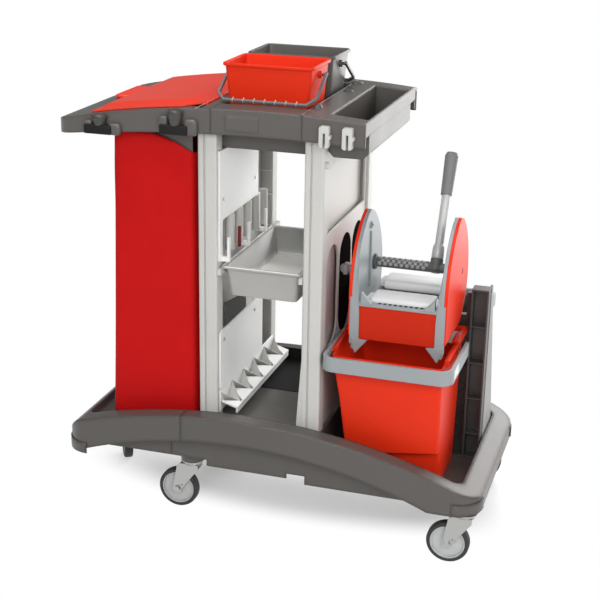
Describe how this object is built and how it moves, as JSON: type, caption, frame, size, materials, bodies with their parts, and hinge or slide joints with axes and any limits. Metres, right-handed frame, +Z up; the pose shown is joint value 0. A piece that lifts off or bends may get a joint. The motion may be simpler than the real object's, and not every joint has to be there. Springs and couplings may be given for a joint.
{
  "type": "janitor cart",
  "caption": "Cleaning cart on swivel casters with a bag bay under a hinged lid, uprights with a sliding tray, small buckets, and a mop bucket with a lever wringer.",
  "frame": {"origin": "on the floor under the centre of the cart's bounding box", "axes": "+Z up, +X along the cart towards the bucket bay, +Y away from the near side"},
  "size_m": [1.004, 0.516, 1.0734],
  "materials": {
    "dark_plastic": "satin anthracite",
    "light_plastic": "satin light grey",
    "white_plastic": "satin white",
    "red_plastic": "semi-gloss red",
    "grey_plastic": "satin blue-grey",
    "steel": "zinc plated",
    "tyre": "matt rubber",
    "rubber": "matt rubber",
    "bag_vinyl": "coated red fabric"
  },
  "bodies": {
    "cart": {"base_main": "dark_plastic", "base_extension": "dark_plastic", "corner_bumpers": "dark_plastic", "caster_heads": "steel", "upright_left": "light_plastic", "upright_right": "light_plastic", "shelf_runners": "light_plastic", "tool_holder_upper": "white_plastic", "tool_holder_lower": "white_plastic", "frame_left": "dark_plastic", "frame_middle": "dark_plastic", "frame_right": "dark_plastic", "lid_pin": "steel", "broom_brackets": "dark_plastic", "broom_knobs": "dark_plastic", "broom_pads": "rubber", "handle_clips": "light_plastic", "bag": "bag_vinyl", "bag_hooks": "dark_plastic", "divider": "dark_plastic", "screws": "steel"},
    "swivel_1": {"fork_1": "steel", "axle_1": "steel"},
    "roller_1": {"wheel_1": "grey_plastic", "tyre_1": "tyre"},
    "swivel_2": {"fork_2": "steel", "axle_2": "steel"},
    "roller_2": {"wheel_2": "grey_plastic", "tyre_2": "tyre"},
    "swivel_3": {"fork_3": "steel", "axle_3": "steel"},
    "roller_3": {"wheel_3": "grey_plastic", "tyre_3": "tyre"},
    "swivel_4": {"fork_4": "steel", "axle_4": "steel"},
    "roller_4": {"wheel_4": "grey_plastic", "tyre_4": "tyre"},
    "swivel_5": {"fork_5": "steel", "axle_5": "steel"},
    "roller_5": {"wheel_5": "grey_plastic", "tyre_5": "tyre"},
    "lid": {"lid": "red_plastic"},
    "shelf": {"shelf_tray": "light_plastic"},
    "small_near": {"bucket_near": "red_plastic"},
    "small_near_bail": {"bail_near": "grey_plastic"},
    "small_far": {"bucket_far": "dark_plastic"},
    "small_far_bail": {"bail_far": "grey_plastic"},
    "mop_pail": {"mop_bucket": "red_plastic"},
    "mop_pail_handle": {"mop_handle": "grey_plastic"},
    "slim_pail": {"slim_bucket": "dark_plastic"},
    "slim_pail_handle": {"slim_handle": "grey_plastic"},
    "wringer": {"wringer_frame": "grey_plastic", "wringer_covers": "red_plastic", "wringer_front": "red_plastic", "wringer_tray": "grey_plastic", "press_fixed": "white_plastic"},
    "press": {"press_moving": "white_plastic"},
    "lever": {"wringer_shaft": "grey_plastic", "lever_tube": "steel", "lever_grip": "rubber"}
  },
  "joints": [
    {"name": "swivel_1_turn", "type": "hinge", "parent": "cart", "child": "swivel_1", "pos_m": [0.466, -0.219, 0.118], "axis": [0, 0, 1], "continuous": true},
    {"name": "roller_1_spin", "type": "hinge", "parent": "swivel_1", "child": "roller_1", "pos_m": [0.431, -0.219, 0.049], "axis": [0, 1, 0], "continuous": true},
    {"name": "swivel_2_turn", "type": "hinge", "parent": "cart", "child": "swivel_2", "pos_m": [0.466, 0.219, 0.118], "axis": [0, 0, 1], "continuous": true},
    {"name": "roller_2_spin", "type": "hinge", "parent": "swivel_2", "child": "roller_2", "pos_m": [0.431, 0.219, 0.049], "axis": [0, 1, 0], "continuous": true},
    {"name": "swivel_3_turn", "type": "hinge", "parent": "cart", "child": "swivel_3", "pos_m": [-0.202, -0.171, 0.118], "axis": [0, 0, 1], "continuous": true},
    {"name": "roller_3_spin", "type": "hinge", "parent": "swivel_3", "child": "roller_3", "pos_m": [-0.237, -0.171, 0.049], "axis": [0, 1, 0], "continuous": true},
    {"name": "swivel_4_turn", "type": "hinge", "parent": "cart", "child": "swivel_4", "pos_m": [-0.202, 0.171, 0.118], "axis": [0, 0, 1], "continuous": true},
    {"name": "roller_4_spin", "type": "hinge", "parent": "swivel_4", "child": "roller_4", "pos_m": [-0.167, 0.171, 0.049], "axis": [0, -1, 0], "continuous": true},
    {"name": "swivel_5_turn", "type": "hinge", "parent": "cart", "child": "swivel_5", "pos_m": [-0.449, 0, 0.118], "axis": [0, 0, 1], "continuous": true},
    {"name": "roller_5_spin", "type": "hinge", "parent": "swivel_5", "child": "roller_5", "pos_m": [-0.4665, 0.03031, 0.049], "axis": [0.866, 0.5, 0], "continuous": true},
    {"name": "lid_hinge", "type": "hinge", "parent": "cart", "child": "lid", "pos_m": [-0.163, 0, 0.98384], "axis": [0, 1, 0], "range_deg": [0, 90]},
    {"name": "shelf_slide", "type": "slide", "parent": "cart", "child": "shelf", "axis": [0, -1, 0], "range_m": [0, 0.22]},
    {"name": "small_near_lift", "type": "slide", "parent": "cart", "child": "small_near", "axis": [0, 0, 1], "range_m": [0, 0.2]},
    {"name": "small_near_bail_swing", "type": "hinge", "parent": "small_near", "child": "small_near_bail", "pos_m": [-0.031, -0.077, 1.0484], "axis": [-1, 0, 0], "range_deg": [0, 119]},
    {"name": "small_far_lift", "type": "slide", "parent": "cart", "child": "small_far", "axis": [0, 0, 1], "range_m": [0, 0.2]},
    {"name": "small_far_bail_swing", "type": "hinge", "parent": "small_far", "child": "small_far_bail", "pos_m": [-0.031, 0.086, 1.0484], "axis": [1, 0, 0], "range_deg": [0, 119]},
    {"name": "mop_pail_lift", "type": "slide", "parent": "cart", "child": "mop_pail", "axis": [0, 0, 1], "range_m": [0, 0.06]},
    {"name": "mop_pail_handle_swing", "type": "hinge", "parent": "mop_pail", "child": "mop_pail_handle", "pos_m": [0.273, -0.04, 0.4354], "axis": [-1, 0, 0], "range_deg": [0, 35]},
    {"name": "slim_pail_lift", "type": "slide", "parent": "cart", "child": "slim_pail", "axis": [0, 0, 1], "range_m": [0, 0.04]},
    {"name": "slim_pail_handle_swing", "type": "hinge", "parent": "slim_pail", "child": "slim_pail_handle", "pos_m": [0.282, 0.159, 0.4724], "axis": [1, 0, 0], "range_deg": [0, 95]},
    {"name": "wringer_lift", "type": "slide", "parent": "mop_pail", "child": "wringer", "axis": [0, 0, 1], "range_m": [0, 0.06]},
    {"name": "lever_pivot", "type": "hinge", "parent": "wringer", "child": "lever", "pos_m": [0.279, 0.002, 0.6134], "axis": [1, 0, 0], "range_deg": [0, 60]},
    {"name": "press_slide", "type": "slide", "parent": "wringer", "child": "press", "axis": [0, -1, 0], "range_m": [0, 0.053]}
  ],
  "couplings": [
    {"joint": "press_slide", "follows": "lever_pivot", "m_per_rad": 0.05}
  ]
}
